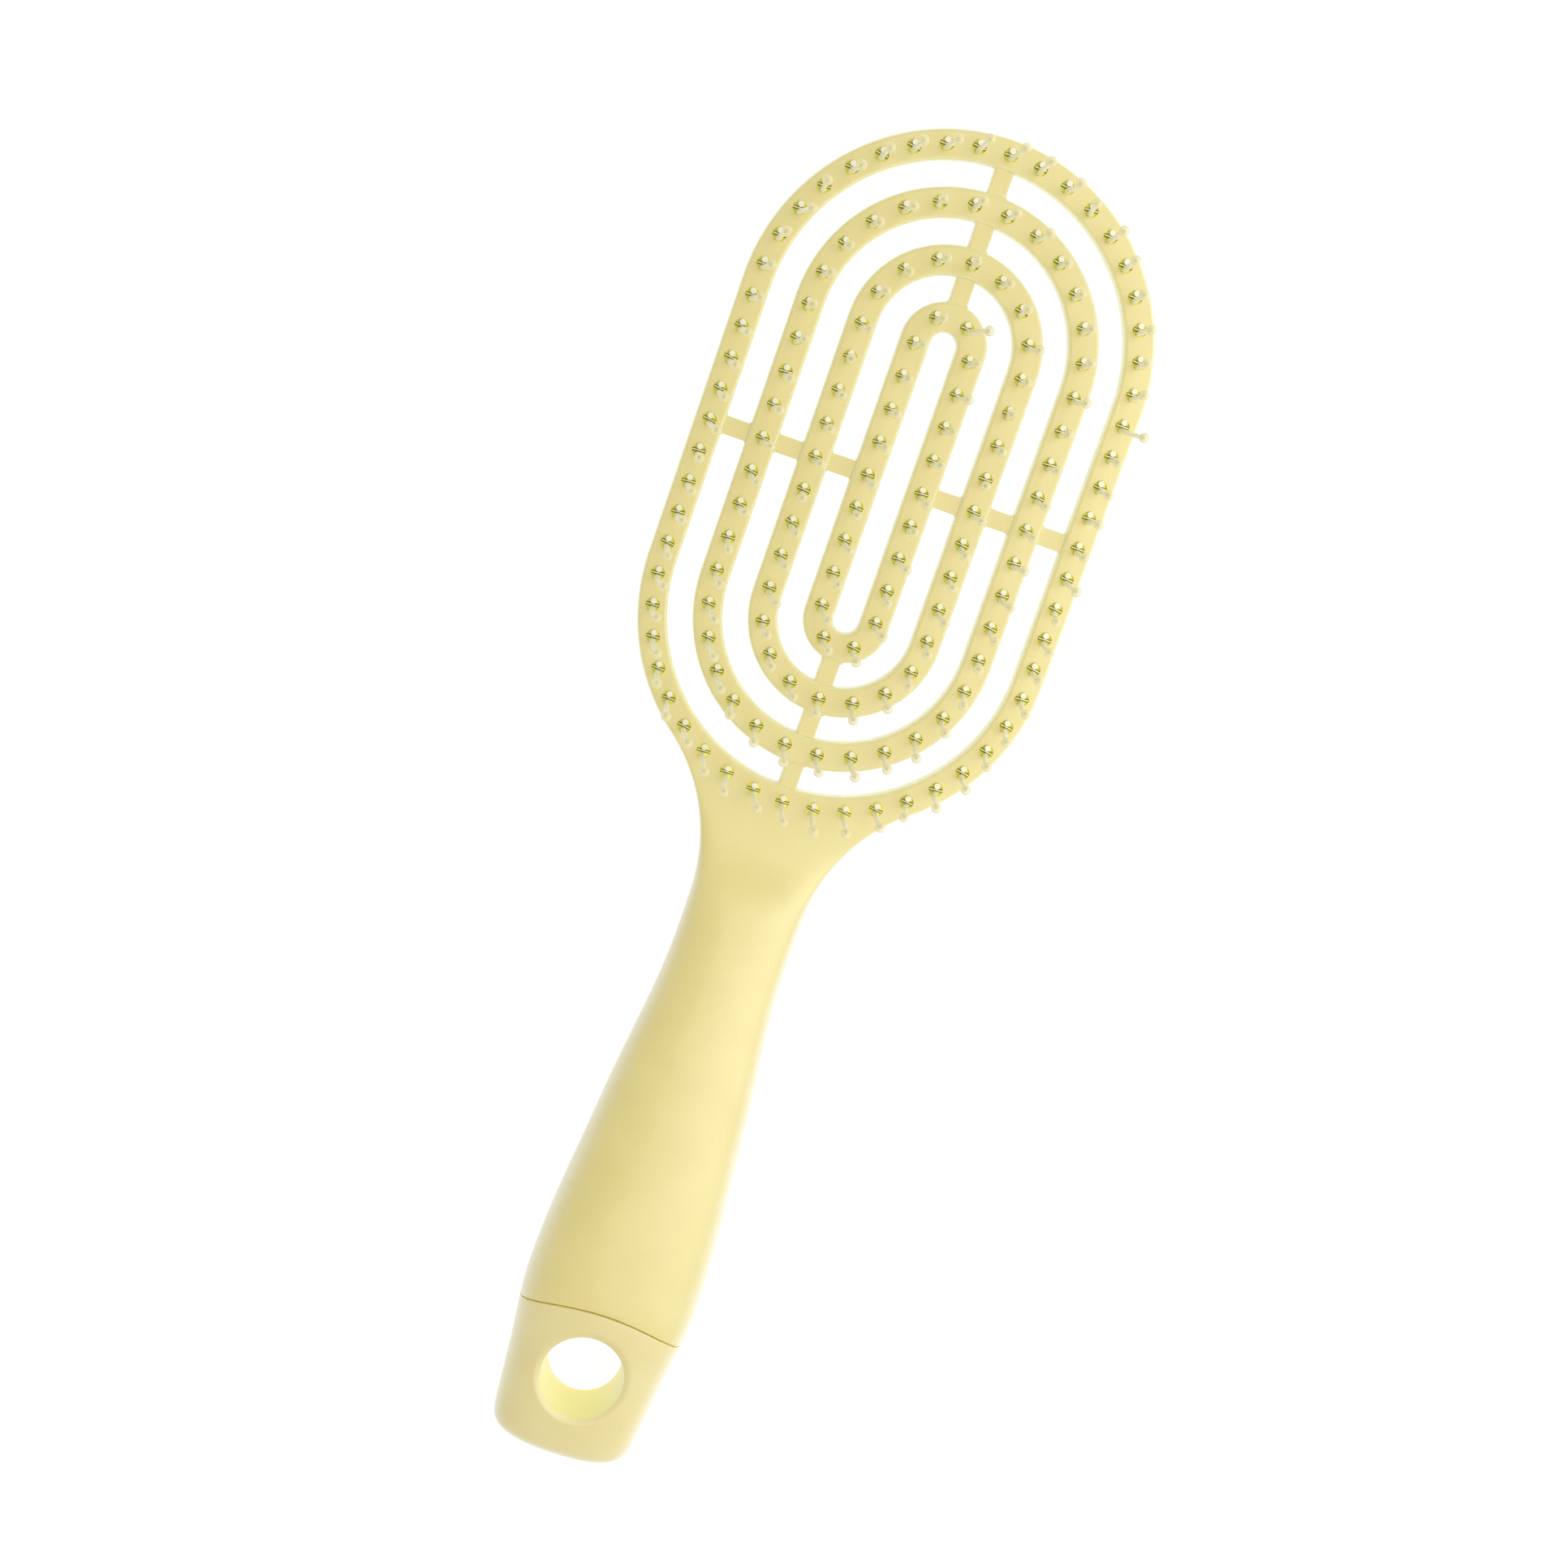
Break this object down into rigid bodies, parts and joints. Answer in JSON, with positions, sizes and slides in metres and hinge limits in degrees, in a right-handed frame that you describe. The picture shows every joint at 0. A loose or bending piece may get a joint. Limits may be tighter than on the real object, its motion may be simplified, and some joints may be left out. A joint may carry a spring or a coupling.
{
  "type": "vented hair brush",
  "caption": "Pale yellow vented detangling hair brush: four concentric open rings of ball-tipped bristles, a slim contoured handle and an end cap with a hanging hole.",
  "frame": {"origin": "under the middle of the brush, on the surface that its back lies on", "axes": "+Y along the brush from the end cap to the head's tip, +Z the way the bristles point, +X across it"},
  "size_m": [0.0706, 0.2398, 0.0229],
  "materials": {
    "frame_plastic": "soft satin moulded plastic, pale yellow",
    "cap_plastic": "soft satin moulded plastic, pale yellow, slightly glossier than the frame",
    "bristle_nylon": "translucent whitish nylon monofilament",
    "staple_wire": "dull flat wire anchors"
  },
  "bodies": {
    "root": {"bristles_inner_01": "bristle_nylon", "bristles_inner_02": "bristle_nylon", "bristles_inner_03": "bristle_nylon", "bristles_inner_04": "bristle_nylon", "bristles_outer_01": "bristle_nylon", "bristles_outer_02": "bristle_nylon", "bristles_outer_03": "bristle_nylon", "bristles_outer_04": "bristle_nylon", "bristles_outer_05": "bristle_nylon", "bristles_outer_06": "bristle_nylon", "bristles_outer_07": "bristle_nylon", "bristles_outer_08": "bristle_nylon", "bristles_outer_09": "bristle_nylon", "bristles_outer_10": "bristle_nylon", "bristles_outer_11": "bristle_nylon", "bristles_outer_12": "bristle_nylon", "bristles_second_01": "bristle_nylon", "bristles_second_02": "bristle_nylon", "bristles_second_03": "bristle_nylon", "bristles_second_04": "bristle_nylon", "bristles_second_05": "bristle_nylon", "bristles_second_06": "bristle_nylon", "bristles_second_07": "bristle_nylon", "bristles_second_08": "bristle_nylon", "bristles_second_09": "bristle_nylon", "bristles_second_10": "bristle_nylon", "bristles_third_01": "bristle_nylon", "bristles_third_02": "bristle_nylon", "bristles_third_03": "bristle_nylon", "bristles_third_04": "bristle_nylon", "bristles_third_05": "bristle_nylon", "bristles_third_06": "bristle_nylon", "bristles_third_07": "bristle_nylon", "bristles_third_08": "bristle_nylon", "brush_frame": "frame_plastic", "end_cap": "cap_plastic"}
  },
  "joints": []
}
